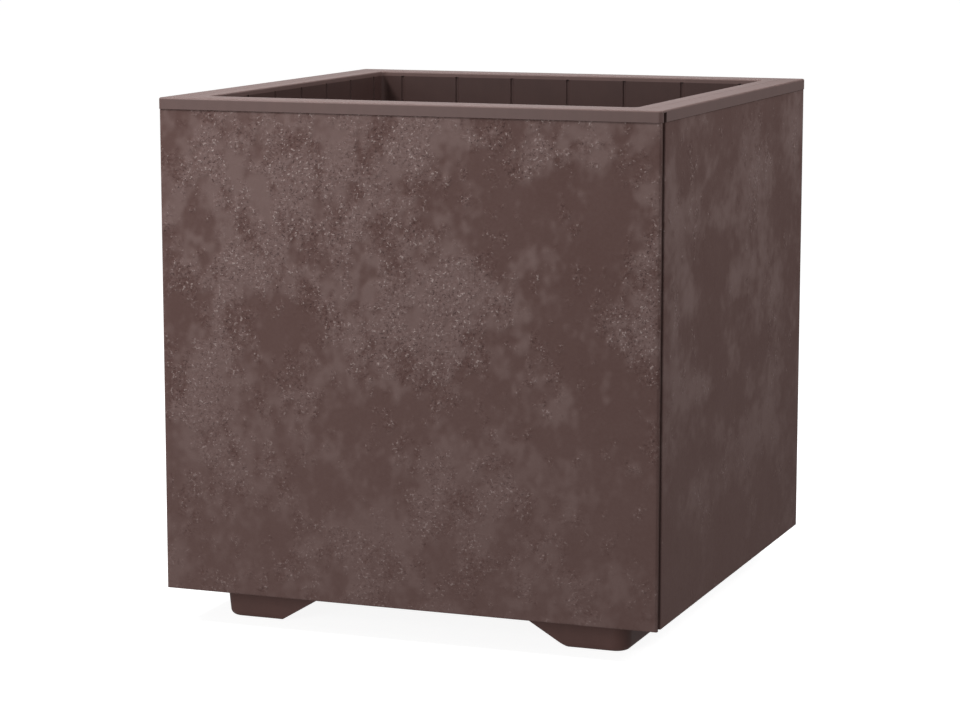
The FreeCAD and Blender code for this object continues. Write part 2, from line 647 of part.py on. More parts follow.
rim_frame()
panels()
for name, side, end, turn in CORNERS:
    corner_post(name, side, end, turn)
base_tray()
for name, side, end, turn in CORNERS:
    foot(name, side, end, turn)
liner_pot()
for name, side, end, _ in CORNERS:
    drain_plug(name, side, end)
    drain_seal(name, side, end)
screw_group("rim_screws", BOSS_SPOTS, PLATE_UNDER, sunk=True)
screw_group("foot_screws", foot_screw_spots(), TRAY_TOP, sunk=True)
screw_group("tray_screws", BOSS_SPOTS, FLOOR, sunk=False, upside_down=True)
doc.recompute()
check_document()

os.makedirs("parts", exist_ok=True)
for piece in pieces:
    piece.Shape.exportStep(f"parts/{piece.Label}.step")
    box = piece.Shape.BoundBox
    print(f"{piece.Label}: {len(piece.Shape.Solids)} solid(s), {piece.Shape.Volume:.0f} mm3, "
          f"x {box.XMin:.1f}..{box.XMax:.1f}, y {box.YMin:.1f}..{box.YMax:.1f}, "
          f"z {box.ZMin:.1f}..{box.ZMax:.1f}")
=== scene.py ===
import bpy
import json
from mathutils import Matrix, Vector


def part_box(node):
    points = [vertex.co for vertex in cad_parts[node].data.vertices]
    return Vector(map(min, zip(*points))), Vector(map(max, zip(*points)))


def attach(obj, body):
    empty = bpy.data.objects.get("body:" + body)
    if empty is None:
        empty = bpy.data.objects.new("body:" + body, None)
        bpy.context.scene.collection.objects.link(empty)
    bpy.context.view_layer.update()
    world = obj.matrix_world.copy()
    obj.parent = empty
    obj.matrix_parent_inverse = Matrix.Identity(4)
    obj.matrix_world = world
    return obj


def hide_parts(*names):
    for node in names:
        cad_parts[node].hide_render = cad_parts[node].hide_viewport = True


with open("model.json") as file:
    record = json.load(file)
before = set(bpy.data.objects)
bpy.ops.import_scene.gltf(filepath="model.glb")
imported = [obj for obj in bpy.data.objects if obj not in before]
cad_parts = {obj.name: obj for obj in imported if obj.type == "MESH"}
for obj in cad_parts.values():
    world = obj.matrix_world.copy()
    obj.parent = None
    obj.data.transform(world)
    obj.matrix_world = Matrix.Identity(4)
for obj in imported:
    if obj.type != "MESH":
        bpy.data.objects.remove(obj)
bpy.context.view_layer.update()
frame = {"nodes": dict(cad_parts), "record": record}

"""Looks of a square planter box with cement-effect panels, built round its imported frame.

Everything is in metres in the frame's own axes: +X to the box's right, -Y out of the front
panel and +Z up, with the origin on the ground under the middle of the box.
"""

import json
import logging
import math
from dataclasses import dataclass, field
from enum import Enum

import bpy
import numpy as np
from mathutils import Vector

MM = 0.001
LOG = logging.getLogger("planter_box")

Colour = tuple[float, float, float]
Place = tuple[float, float, float]
Band = tuple[float, float]
Layer = tuple[float, float, float]
Input = "Term | float | tuple | bpy.types.NodeSocket"


class Slot(Enum):
    """The record's material slots."""

    STONE = "stone_effect_plastic"
    SMOOTH = "smooth_plastic"
    INNER = "inner_plastic"
    FOOT = "foot_plastic"
    PLUG = "plug_plastic"
    SEAL = "seal_rubber"
    STEEL = "steel"


# ---------------------------------------------------------------------------------------
# Materials
# ---------------------------------------------------------------------------------------


class Term:
    """A number that varies over a surface: a shader socket that takes part in arithmetic."""

    def __init__(self, graph: "Graph", socket: bpy.types.NodeSocket) -> None:
        """Wrap a socket.

        Args:
            graph: The node graph that the socket belongs to.
            socket: The output socket that gives the number.
        """
        self.graph = graph
        self.socket = socket

    def __add__(self, other: Input) -> "Term":
        """The sum of two terms."""
        return self.graph.maths("ADD", self, other)

    __radd__ = __add__

    def __sub__(self, other: Input) -> "Term":
        """This term less another."""
        return self.graph.maths("SUBTRACT", self, other)

    def __rsub__(self, other: Input) -> "Term":
        """Another term less this one."""
        return self.graph.maths("SUBTRACT", other, self)

    def __mul__(self, other: Input) -> "Term":
        """The product of two terms."""
        return self.graph.maths("MULTIPLY", self, other)

    __rmul__ = __mul__

    def clamped(self) -> "Term":
        """This term kept between 0 and 1."""
        return self.graph.maths("ADD", self, 0.0, use_clamp=True)

    def step(self, low: float, high: float) -> "Term":
        """A smooth rise from 0 at low to 1 at high."""
        settings = {"interpolation_type": "SMOOTHSTEP"}
        return self.graph.node("ShaderNodeMapRange", settings, {0: self, 1: low, 2: high})


class Graph:
    """A material's nodes, made from Python expressions."""

    def __init__(self, name: str) -> None:
        """Start an empty material.

        Args:
            name: The material's name.
        """
        self.material = bpy.data.materials.new(name)
        self.material.use_nodes = True
        self.tree = self.material.node_tree
        self.tree.nodes.clear()

    def node(self, kind: str, settings: dict, inputs: dict, output: int = 0) -> Term:
        """Make one node.

        Args:
            kind: The node's type name.
            settings: Properties of the node, which are set first.
            inputs: Socket name or number to the value or term that feeds it.
            output: Number of the output that the term reads.

        Returns:
            The node's chosen output.
        """
        made = self.tree.nodes.new(kind)
        for key, setting in settings.items():
            setattr(made, key, setting)
        for key, given in inputs.items():
            if isinstance(given, Term):
                self.tree.links.new(given.socket, made.inputs[key])
            else:
                made.inputs[key].default_value = given
        return Term(self, made.outputs[output])

    def maths(self, operation: str, first: Input, second: Input, **settings: bool) -> Term:
        """One Math node on two terms or numbers."""
        settings = {"operation": operation, **settings}
        return self.node("ShaderNodeMath", settings, {0: first, 1: second})

    def place(self, stretch: Colour = (1.0, 1.0, 1.0)) -> Term:
        """Object coordinates, multiplied by a stretch along each axis.

        Args:
            stretch: The three multipliers; under 1 draws a pattern out.

        Returns:
            The coordinates.
        """
        coordinates = self.node("ShaderNodeTexCoord", {}, {}, output=3)
        if stretch == (1.0, 1.0, 1.0):
            return coordinates
        return self.node("ShaderNodeMapping", {}, {"Vector": coordinates, "Scale": stretch})

    def noise(self, size: float, detail: float = 2.0, rough: float = 0.5,
              stretch: Colour = (1.0, 1.0, 1.0)) -> Term:
        """Soft noise between 0 and 1.

        Args:
            size: Length of its largest features, in metres.
            detail: How many finer octaves it has.
            rough: How strong the finer octaves are.
            stretch: Multiplies the coordinates; under 1 draws the features out.

        Returns:
            The noise.
        """
        inputs = {"Vector": self.place(stretch), "Scale": 1.0 / size, "Detail": detail,
                  "Roughness": rough}
        return self.node("ShaderNodeTexNoise", {}, inputs)

    def level(self) -> Term:
        """Height in the object's own coordinates."""
        return self.node("ShaderNodeSeparateXYZ", {}, {"Vector": self.place()}, output=2)

    def attribute(self, name: str) -> Term:
        """A number stored on the mesh's points."""
        return self.node("ShaderNodeAttribute", {"attribute_name": name}, {}, output=2)

    def blend(self, factor: Input, first: Input, second: Input) -> Term:
        """A colour between two colours."""
        settings = {"data_type": "RGBA", "clamp_factor": True}
        return self.node("ShaderNodeMix", settings, {0: factor, 6: first, 7: second}, output=2)

    def bump(self, height: Term, distance: float, strength: float = 1.0) -> Term:
        """Normals of a surface raised by a height times a distance in metres."""
        inputs = {"Strength": strength, "Distance": distance, "Height": height}
        return self.node("ShaderNodeBump", {}, inputs)

    def surface(self, **sockets: Input) -> bpy.types.Material:
        """Finish the material with a Principled shader.

        Args:
            **sockets: Shader sockets, with underscores for the spaces in their names.

        Returns:
            The finished material.
        """
        named = {key.replace("_", " "): given for key, given in sockets.items()}
        shader = self.node("ShaderNodeBsdfPrincipled", {}, named)
        output = self.tree.nodes.new("ShaderNodeOutputMaterial")
        self.tree.links.new(shader.socket, output.inputs["Surface"])
        return self.material


def rgba(colour: Colour) -> tuple[float, float, float, float]:
    """A colour with full alpha."""
    return (*colour, 1.0)


@dataclass(frozen=True)
class StoneEffect:
    """Cement-effect plastic: a darker ground under lighter sandy skim, with a painted highlight on
    raised sand grains and painted shade in sunk pits.
    """

    name: str = "stone_effect_plastic"
    ground: Colour = (0.093, 0.051, 0.045)
    skim: Colour = (0.165, 0.110, 0.102)
    # The next two colours are painted light: a painted highlight on raised grains and painted
    # shade in sunk pits.
    sand_highlight: Colour = (0.46, 0.37, 0.35)
    pit_shade: Colour = (0.035, 0.018, 0.016)
    grain_size: float = 2.5 * MM
    sand_size: float = 2.0 * MM
    scrape_size: float = 1.2 * MM
    cloud_size: float = 26.0 * MM
    level_draw: float = 0.22
    upright_draw: float = 0.2
    scrape_band: Band = (0.66, 0.76)
    raised_sand_band: Band = (0.62, 0.74)
    sunk_band: Band = (0.26, 0.38)
    sand_highlight_cover: float = 0.45
    pit_shade_cover: float = 0.5
    roughness: float = 0.74
    relief: float = 0.30 * MM

    def material(self) -> bpy.types.Material:
        """Build the material.

        The tone follows the skim attribute and is broken up by grain where there is grit.
        Raised grains, the highest parts of a sand noise, are painted paler as a painted highlight,
        and sunk pits, the lowest parts, are painted near black as painted shade. Scrapes are the
        highest parts of noises drawn out along the face and up it.

        Returns:
            The material.
        """
        graph = Graph(self.name)
        skim, grit = graph.attribute("skim"), graph.attribute("grit")
        grain = graph.noise(self.grain_size, 3.0, 0.6)
        sand = graph.noise(self.sand_size, 1.0, 0.5)
        along, up = (self.level_draw, self.level_draw, 1.0), (1.0, 1.0, self.upright_draw)
        level = graph.noise(self.scrape_size, 1.0, 0.5, along).step(*self.scrape_band)
        upright = graph.noise(self.scrape_size, 1.0, 0.5, up).step(*self.scrape_band)
        scrape = (level + upright) * (0.08 + 0.92 * grit)
        cloud = graph.noise(self.cloud_size, 3.0, 0.5)
        tone = (0.10 + 0.66 * skim + (grain - 0.5) * (0.2 + 1.9 * grit)
                + (cloud - 0.5) * 0.25 + scrape * 0.3)
        base = graph.blend(tone.clamped(), rgba(self.ground), rgba(self.skim))
        # Raised sand grains get a paler colour, a painted highlight; sunk pits get a near-black
        # colour, painted shade.
        raised = sand.step(*self.raised_sand_band) * grit
        sunk = (1.0 - sand.step(*self.sunk_band)) * grit
        lighter = graph.blend(raised * self.sand_highlight_cover, base, rgba(self.sand_highlight))
        colour = graph.blend(sunk * self.pit_shade_cover, lighter, rgba(self.pit_shade))
        height = grain * (0.2 + 1.0 * grit) + raised * 0.6 - sunk * 0.5 + scrape * 0.4
        return graph.surface(
            Base_Color=colour,
            Roughness=self.roughness - 0.08 * skim - 0.12 * (grain - 0.5),
            Normal=graph.bump(height, self.relief),
            Specular_IOR_Level=0.14)


@dataclass(frozen=True)
class MouldedPlastic:
    """Plain moulded plastic: an even colour, faint clouding and a fine eroded grain.

    A piece with a brim has the brim colour, its own plastic colour, above the brim's level; below
    it, its colour is a darker copy of the same plastic, painted shade down inside the piece.
    """

    name: str
    colour: Colour
    roughness: float = 0.5
    brim: Colour | None = None
    brim_level: float = 399.0 * MM
    brim_blend: float = 0.5 * MM
    cloud: float = 0.1
    cloud_size: float = 18.0 * MM
    flow_size: float = 7.0 * MM
    flow_draw: float = 0.35
    grain_size: float = 0.5 * MM
    relief: float = 0.02 * MM

    def material(self) -> bpy.types.Material:
        """Build the material.

        Returns:
            The material.
        """
        graph = Graph(self.name)
        cloud = graph.noise(self.cloud_size, 3.0, 0.55)
        flow = graph.noise(self.flow_size, 2.0, 0.5, (1.0, 1.0, self.flow_draw))
        grain = graph.noise(self.grain_size, 2.0, 0.6)
        tone = (0.5 + (cloud - 0.5) * 1.2 + (flow - 0.5) * 0.8).clamped()

        def clouded(colour: Colour) -> Term:
            """The colour, a little darker or lighter with the tone.

            Args:
                colour: The even colour.

            Returns:
                The clouded colour.
            """
            darker = tuple(part * (1.0 - self.cloud) for part in colour)
            lighter = tuple(part * (1.0 + self.cloud) for part in colour)
            return graph.blend(tone, rgba(darker), rgba(lighter))

        base = clouded(self.colour)
        if self.brim:
            # Below the brim's level the darker colour is painted shade inside the piece.
            above = graph.level().step(self.brim_level, self.brim_level + self.brim_blend)
            base = graph.blend(above, base, clouded(self.brim))
        return graph.surface(
            Base_Color=base,
            Roughness=self.roughness + 0.1 * (cloud - 0.5) + 0.08 * (grain - 0.5),
            Normal=graph.bump(grain, self.relief),
            Specular_IOR_Level=0.25)


@dataclass(frozen=True)
class SealRubber:
    """Black rubber with a dull bloom."""

    name: str = "seal_rubber"
    colour: Colour = (0.014, 0.014, 0.015)
    bloom_size: float = 3.0 * MM
    bloom_lift: float = 2.2
    relief: float = 0.01 * MM

    def material(self) -> bpy.types.Material:
        """Build the material.

        Returns:
            The material.
        """
        graph = Graph(self.name)
        bloom = graph.noise(self.bloom_size, 2.0, 0.5)
        pale = tuple(part * self.bloom_lift for part in self.colour)
        return graph.surface(
            Base_Color=graph.blend(bloom.step(0.45, 0.75) * 0.6, rgba(self.colour), rgba(pale)),
            Roughness=0.62 + 0.15 * bloom,
            Normal=graph.bump(bloom, self.relief))


@dataclass(frozen=True)
class ZincSteel:
    """Bright zinc-plated steel with fine scuffs."""

    name: str = "zinc_steel"
    colour: Colour = (0.58, 0.58, 0.57)
    spangle_size: float = 1.2 * MM
    dulling: float = 0.78
    relief: float = 0.008 * MM

    def material(self) -> bpy.types.Material:
        """Build the material.

        Returns:
            The material.
        """
        graph = Graph(self.name)
        spangle = graph.noise(self.spangle_size, 2.0, 0.5)
        dull = tuple(part * self.dulling for part in self.colour)
        return graph.surface(
            Base_Color=graph.blend(spangle, rgba(dull), rgba(self.colour)),
            Metallic=1.0,
            Roughness=0.28 + 0.18 * spangle,
            Normal=graph.bump(spangle, self.relief))


class Finishes:
    """One material for each of the record's slots."""

    def __init__(self) -> None:
        """Build every material once."""
        # The liner's inner walls take a darker copy of the brown rim plastic: painted shade inside
        # the box.
        brown, liner_painted_shade = (0.112, 0.068, 0.062), (0.050, 0.026, 0.023)
        reddish, black = (0.118, 0.060, 0.052), (0.030, 0.026, 0.025)
        finishes = {
            Slot.STONE: StoneEffect(),
            Slot.SMOOTH: MouldedPlastic("smooth_plastic", brown, roughness=0.52),
            # Below the rim the liner is painted darker as painted shade; above it, it keeps the
            # brown plastic colour.
            Slot.INNER: MouldedPlastic("inner_plastic", liner_painted_shade, brim=brown),
            Slot.FOOT: MouldedPlastic("foot_plastic", reddish, roughness=0.55),
            Slot.PLUG: MouldedPlastic("plug_plastic", black, roughness=0.45),
            Slot.SEAL: SealRubber(),
            Slot.STEEL: ZincSteel(),
        }
        self.by_slot = {slot: finish.material() for slot, finish in finishes.items()}

    def dress(self, piece: bpy.types.Object, slot: Slot) -> None:
        """Give a piece the material of a slot."""
        piece.data.materials.clear()
        piece.data.materials.append(self.by_slot[slot])

    def dress_frame(self) -> None:
        """Give every CAD node the material of the slot that the record names for it."""
        for part in frame["record"]["subparts"]:
            self.dress(frame["nodes"][part["node"]], Slot(part["material_slot"]))


# ---------------------------------------------------------------------------------------
# Meshes
# ---------------------------------------------------------------------------------------


class Shell:
    """The points and faces of one piece, gathered from whole numpy arrays."""

    def __init__(self) -> None:
        """Start with nothing."""
        self.points: list[np.ndarray] = []
        self.faces: list[list[int]] = []
        self.values: dict[str, np.ndarray] = {}
        self.count = 0

    def add_points(self, points: np.ndarray, **values: np.ndarray) -> np.ndarray:
        """Add points and give back their numbers.

        Args:
            points: An array of any shape whose last axis is x, y, z.
            **values: Attributes of the first points added, one number for each point.

        Returns:
            The points' numbers, in the shape of the array without its last axis.
        """
        shape = points.shape[:-1]
        numbers = self.count + np.arange(int(np.prod(shape))).reshape(shape)
        self.points.append(points.reshape(-1, 3))
        self.values.update({name: value.reshape(-1) for name, value in values.items()})
        self.count += numbers.size
        return numbers

    def add_grid(self, numbers: np.ndarray, closed: bool = False) -> None:
        """Join a grid of point numbers with quads.

        A face looks along the cross product of the column and row directions.

        Args:
            numbers: Rows and columns of point numbers.
            closed: Whether the last column joins the first.
        """
        grid = np.column_stack([numbers, numbers[:, :1]]) if closed else numbers
        quads = np.stack([grid[:-1, :-1], grid[:-1, 1:], grid[1:, 1:], grid[1:, :-1]], axis=-1)
        self.faces.extend(quads.reshape(-1, 4).tolist())

    def add_cap(self, ring: np.ndarray) -> None:
        """Close a ring of point numbers with one flat face, seen anticlockwise."""
        self.faces.append(ring.tolist())

    def add_prism(self, outline: np.ndarray, low: float, high: float) -> None:
        """Add a closed upright prism.

        Args:
            outline: Points (x, y) in anticlockwise order, seen from above.
            low: Level of its lower face.
            high: Level of its upper face.
        """
        levels = np.array([low, high])[:, None, None]
        rows = np.broadcast_to(outline[None], (2, *outline.shape))
        points = np.concatenate([rows, np.broadcast_to(levels, (2, len(outline), 1))], axis=2)
        numbers = self.add_points(points)
        self.add_grid(numbers, closed=True)
        self.add_cap(numbers[0][::-1])
        self.add_cap(numbers[1])

    def build(self, name: str, crease: float = 32.0) -> bpy.types.Object:
        """Make the Blender object.

        Args:
            name: The piece's name.
            crease: Edges that turn by more than this many degrees stay sharp.

        Returns:
            The object, at the origin, unturned and unscaled.
        """
        mesh = bpy.data.meshes.new(name)
        mesh.from_pydata(np.concatenate(self.points), [], self.faces)
        mesh.polygons.foreach_set("use_smooth", np.ones(len(mesh.polygons), dtype=bool))
        mesh.set_sharp_from_angle(angle=math.radians(crease))
        for attribute, values in self.values.items():
            layer = mesh.attributes.new(attribute, "FLOAT", "POINT")
            padded = np.zeros(self.count, dtype=np.float32)
            padded[:values.size] = values
            layer.data.foreach_set("value", padded)
        mesh.update()
        piece = bpy.data.objects.new(name, mesh)
        bpy.context.scene.collection.objects.link(piece)
        return piece


class NoiseSheet:
    """Smooth seeded noise over a rectangle, made by filtering white noise."""

    def __init__(self, width: float, height: float, seed: int, step: float = 0.7 * MM) -> None:
        """Set the rectangle up.

        Args:
            width: Length along the first direction, centred on zero.
            height: Length along the second direction, from zero up.
            seed: Seed of the random draws.
            step: Spacing of the raster that the noise is worked out on.
        """
        self.random = np.random.default_rng(seed)
        self.width, self.height, self.step = width, height, step
        self.shape = (int(height / step) + 3, int(width / step) + 3)

    def layer(self, along: float, up: float) -> np.ndarray:
        """Noise of zero mean and unit spread.

        White noise is multiplied in the frequency plane by
        exp(-2 (pi f_x along)^2 - 2 (pi f_z up)^2), which blurs it by those lengths.

        Args:
            along: Blur length across the rectangle.
            up: Blur length up the rectangle.

        Returns:
            The raster of the noise.
        """
        white = self.random.standard_normal(self.shape)
        f_up = np.fft.fftfreq(self.shape[0], self.step)[:, None]
        f_along = np.fft.rfftfreq(self.shape[1], self.step)[None, :]
        keep = np.exp(-2 * (np.pi * f_along * along) ** 2 - 2 * (np.pi * f_up * up) ** 2)
        blurred = np.fft.irfft2(np.fft.rfft2(white) * keep, self.shape)
        return (blurred - blurred.mean()) / blurred.std()

    def sample(self, raster: np.ndarray, x: np.ndarray, z: np.ndarray) -> np.ndarray:
        """Read a raster between its points.

        Args:
            raster: A raster from this sheet.
            x: Places across the rectangle, from -width / 2 to width / 2.
            z: Places up it, from 0 to height.

        Returns:
            The values, weighted from the four raster points round each place.
        """
        column = np.clip((x + self.width / 2) / self.step, 0, self.shape[1] - 2)
        line = np.clip(z / self.step, 0, self.shape[0] - 2)
        j, i = column.astype(int), line.astype(int)
        u, v = column - j, line - i
        lower = raster[i, j] * (1 - u) + raster[i, j + 1] * u
        upper = raster[i + 1, j] * (1 - u) + raster[i + 1, j + 1] * u
        return lower * (1 - v) + upper * v


def smooth(value: np.ndarray, low: float, high: float) -> np.ndarray:
    """A smooth rise from 0 at low to 1 at high: t^2 (3 - 2 t) of the clipped share t."""
    share = np.clip((value - low) / (high - low), 0.0, 1.0)
    return share * share * (3 - 2 * share)


# ---------------------------------------------------------------------------------------
# Pieces
# ---------------------------------------------------------------------------------------


@dataclass(frozen=True)
class Patch:
    """A soft oval patch of thicker (or, with less than no weight, thinner) skim, in mm."""

    x: float
    z: float
    wide: float
    tall: float
    weight: float


@dataclass(frozen=True)
class Skim:
    """How the cement effect lies on one panel.

    The seed starts its noises, grit adds to the grain all over, and a flipped skim has its
    patches mirrored left to right.  Fine weighs the two finer noises of the cover, and drawn
    stretches all three along the face.
    """

    seed: int
    grit: float
    patches: tuple[Patch, ...]
    flipped: bool = False
    fine: float = 1.0
    drawn: float = 1.0

    def laid(self, x: np.ndarray, rise: np.ndarray) -> np.ndarray:
        """Weight of the patches at places on the face.

        The sum of weight times exp(-(dx / wide)^2 - (dz / tall)^2) over the patches.

        Args:
            x: Places along the face.
            rise: Heights above the panel's lower edge.

        Returns:
            The weights.
        """
        total = np.zeros_like(x)
        across = -x if self.flipped else x
        for patch in self.patches:
            far_x = (across / MM - patch.x) / patch.wide
            far_z = (rise / MM - patch.z) / patch.tall
            total += patch.weight * np.exp(-far_x ** 2 - far_z ** 2)
        return total


BROAD_SKIM = (
    Patch(-92, 306, 78, 70, 0.9), Patch(3, 339, 22, 26, 1.0), Patch(58, 354, 14, 10, 0.7),
    Patch(100, 334, 20, 14, 1.0), Patch(125, 346, 34, 10, 0.6), Patch(148, 350, 16, 18, 0.8),
    Patch(188, 290, 17, 84, 0.9), Patch(175, 216, 24, 24, 0.9), Patch(23, 231, 52, 34, 0.8),
    Patch(52, 240, 26, 16, 0.7), Patch(18, 184, 34, 34, 0.6), Patch(-62, 176, 28, 22, 0.7),
    Patch(-137, 242, 28, 26, 0.8), Patch(-177, 246, 12, 16, 0.6), Patch(-160, 166, 24, 42, 1.1),
    Patch(-142, 96, 44, 32, 0.5), Patch(18, 80, 32, 28, 0.6), Patch(84, 92, 24, 12, 0.7),
    Patch(72, 52, 34, 22, 0.5), Patch(-66, 46, 28, 16, 0.5), Patch(0, 26, 80, 14, 0.3),
    Patch(110, 176, 14, 22, 0.4), Patch(82, 310, 54, 30, -0.8), Patch(146, 298, 36, 44, -0.9),
    Patch(-102, 202, 32, 30, -0.8), Patch(-166, 282, 13, 22, -0.9), Patch(-180, 210, 22, 16, -0.8),
    Patch(142, 172, 50, 56, -0.6), Patch(-34, 136, 60, 28, -0.6), Patch(186, 72, 30, 60, -0.5),
    Patch(-116, 302, 10, 16, -0.6), Patch(-60, 86, 30, 22, -0.4), Patch(-192, 126, 10, 40, -0.5),
)
SPARE_SKIM = (
    Patch(58, 312, 48, 26, 1.0), Patch(165, 328, 26, 34, 0.9), Patch(4, 348, 44, 14, 0.4),
    Patch(-112, 288, 30, 16, 0.6), Patch(-160, 218, 11, 26, 0.8), Patch(-158, 172, 16, 30, 0.7),
    Patch(-2, 238, 32, 20, 0.6), Patch(-98, 166, 32, 20, 0.6), Patch(98, 206, 34, 22, 0.6),
    Patch(-22, 116, 34, 12, 0.8), Patch(104, 126, 32, 26, 0.7), Patch(30, 80, 62, 24, 0.6),
    Patch(-106, 80, 36, 20, 0.6), Patch(-168, 326, 12, 46, 0.5), Patch(-62, 256, 52, 16, -0.8),
    Patch(-56, 222, 42, 30, -0.7), Patch(130, 276, 50, 24, -0.6), Patch(148, 186, 20, 20, -0.7),
    Patch(-66, 146, 62, 9, -0.9), Patch(18, 131, 50, 7, -0.8), Patch(-146, 36, 60, 30, -0.9),
    Patch(-16, 40, 40, 26, -0.8), Patch(110, 328, 14, 40, -0.6), Patch(-40, 306, 40, 20, -0.5),
    Patch(-140, 60, 60, 90, -0.5), Patch(-40, 190, 60, 44, -0.4), Patch(60, 60, 90, 30, -0.3),
)

# Each layer of noise is its weight and its blur lengths along the face and up it, in mm.
COVER_NOISE = ((0.28, 11, 14), (0.30, 4.2, 5.5), (0.26, 1.6, 2.0))
GRIT_NOISE = ((0.35, 7, 9), (0.45, 2.2, 2.8))
GRAIN_NOISE = ((1.0, 1.0, 1.1),)
WAVE_NOISE = ((0.08, 3, 6), (0.25, 50, 60))


@dataclass
class WallPanel:
    """One wall panel: a skin with cement relief on a ribbed backing sheet."""

    name: str
    turn: int
    skim: Skim
    skin: float = 1.5 * MM
    sheet: float = 3.0 * MM
    spacing: float = 1.45 * MM
    cap_radius: float = 1.8 * MM
    side_radius: float = 1.1 * MM
    shoulder_radius: float = 0.4 * MM
    relief: float = 0.20 * MM
    fade_start: float = 0.2 * MM
    fade_end: float = 4.0 * MM
    calm_low: float = 30.0 * MM
    calm_high: float = 260.0 * MM
    calm_cover: float = 0.42
    rib_pitch: float = 50.0 * MM
    rib_half: float = 1.0 * MM
    rib_depth: float = 6.0 * MM
    rib_clear: float = 1.0 * MM
    rail_set: float = 22.0 * MM
    rail_neck: float = 3.0 * MM
    rail_tip: float = 4.5 * MM
    rail_depth: float = 5.0 * MM
    post_leg: float = 36.0 * MM
    band_gap: float = 0.08 * MM
    tongue: float = 1.3 * MM
    tongue_inset: float = 9.5 * MM
    sill_depth: float = 4.0 * MM
    sill_height: float = 3.0 * MM
    arc_steps: int = 5
    left: float = field(init=False)
    right: float = field(init=False)
    corner: float = field(init=False)
    face: float = field(init=False)
    low: float = field(init=False)
    shoulder: float = field(init=False)
    top: float = field(init=False)

    def __post_init__(self) -> None:
        """Read the panel's place from the frame."""
        lowest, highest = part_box(self.name)
        along, across = (0, 1) if self.turn % 180 == 0 else (1, 0)
        ends = lowest[along], highest[along]
        self.left, self.right = ends if self.turn in (0, 90) else (-ends[1], -ends[0])
        self.face = max(abs(lowest[across]), abs(highest[across]))
        self.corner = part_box("base_tray")[1][along]
        self.low, self.top = lowest.z, highest.z
        self.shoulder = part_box("rim_frame")[0].z - self.band_gap

    def turned(self, points: np.ndarray) -> np.ndarray:
        """Turn points of the front panel's place about +Z to this panel's side.

        Args:
            points: An array whose last axis is x, y, z.

        Returns:
            The turned points, in the same shape.
        """
        angle = math.radians(self.turn)
        cos, sin = round(math.cos(angle)), round(math.sin(angle))
        x, y, z = points[..., 0], points[..., 1], points[..., 2]
        return np.stack([cos * x - sin * y, sin * x + cos * y, z], axis=-1)

    def edge(self, radius: float) -> tuple[np.ndarray, np.ndarray]:
        """Distances in from an edge and depths below the face, from the skin's back to the face.

        A quarter circle of the radius leads from the edge into the face: at angle a the
        distance is radius (1 - cos a) and the depth is radius (1 - sin a).

        Args:
            radius: Radius of the rounded edge.

        Returns:
            The distances and the depths.
        """
        angle = np.linspace(0.0, np.pi / 2, self.arc_steps + 1)
        inwards, depth = radius * (1 - np.cos(angle)), radius * (1 - np.sin(angle))
        return np.append(0.0, inwards), np.append(self.skin, depth)

    def section(self, low: float, high: float, low_radius: float,
                high_radius: float) -> tuple[np.ndarray, np.ndarray]:
        """Places and depths across the skin, from one edge's back over the face to the other.

        Args:
            low: Where the face starts.
            high: Where the face ends.
            low_radius: Radius of the edge where it starts.
            high_radius: Radius of the edge where it ends.

        Returns:
            Places between low and high, and depths below the face.
        """
        first, first_depth = self.edge(low_radius)
        last, last_depth = self.edge(high_radius)
        steps = int((high - low - low_radius - high_radius) / self.spacing)
        flat = np.linspace(low + low_radius, high - high_radius, steps + 1)[1:-1]
        places = np.concatenate([low + first, flat, high - last[::-1]])
        depths = np.concatenate([first_depth, np.zeros(flat.size), last_depth[::-1]])
        return places, depths

    def pattern(self, x: np.ndarray, z: np.ndarray) -> tuple[np.ndarray, ...]:
        """The skim's cover, its grit and the relief's height at places on the face.

        The cover is a smooth threshold of the laid patches plus three blurred noises.  The
        grit follows the patches with noises of its own, and both calm down towards the lower
        edge.  The height is the cover, roughened by fine noise where there is grit, plus
        shallow dimples and a slow wave.

        Args:
            x: Places along the face.
            z: Levels above the ground.

        Returns:
            The cover and the grit, from 0 to 1, and the height, in metres.
        """
        sheet = NoiseSheet(2 * self.corner + 2 * self.sheet, self.shoulder - self.low,
                           self.skim.seed)
        laid = self.skim.laid(x, z - self.low)

        def mixed(layers: tuple[Layer, ...]) -> np.ndarray:
            """Noises added up at the places.

            Args:
                layers: Weight and the two blur lengths in mm of each noise.

            Returns:
                The sums.
            """
            raster = sum(weight * sheet.layer(along * MM, up * MM)
                         for weight, along, up in layers)
            return sheet.sample(raster, x, z - self.low)

        strengths = (1.0, self.skim.fine, self.skim.fine)
        layers = tuple((weight * strength, along * self.skim.drawn, up)
                       for strength, (weight, along, up) in zip(strengths, COVER_NOISE))
        cover = smooth(laid + mixed(layers), -0.5, 1.05)
        grit = smooth(laid + mixed(GRIT_NOISE) + self.skim.grit, -0.2, 1.1)
        calm = 0.55 + 0.45 * smooth(z - self.low, self.calm_low, self.calm_high)
        cover, grit = self.calm_cover + (cover - self.calm_cover) * calm, grit * calm
        height = 0.7 * cover + 0.40 * grit * mixed(GRAIN_NOISE) + mixed(WAVE_NOISE)
        return cover, grit, np.clip(height, -1.0, 1.8) * self.relief

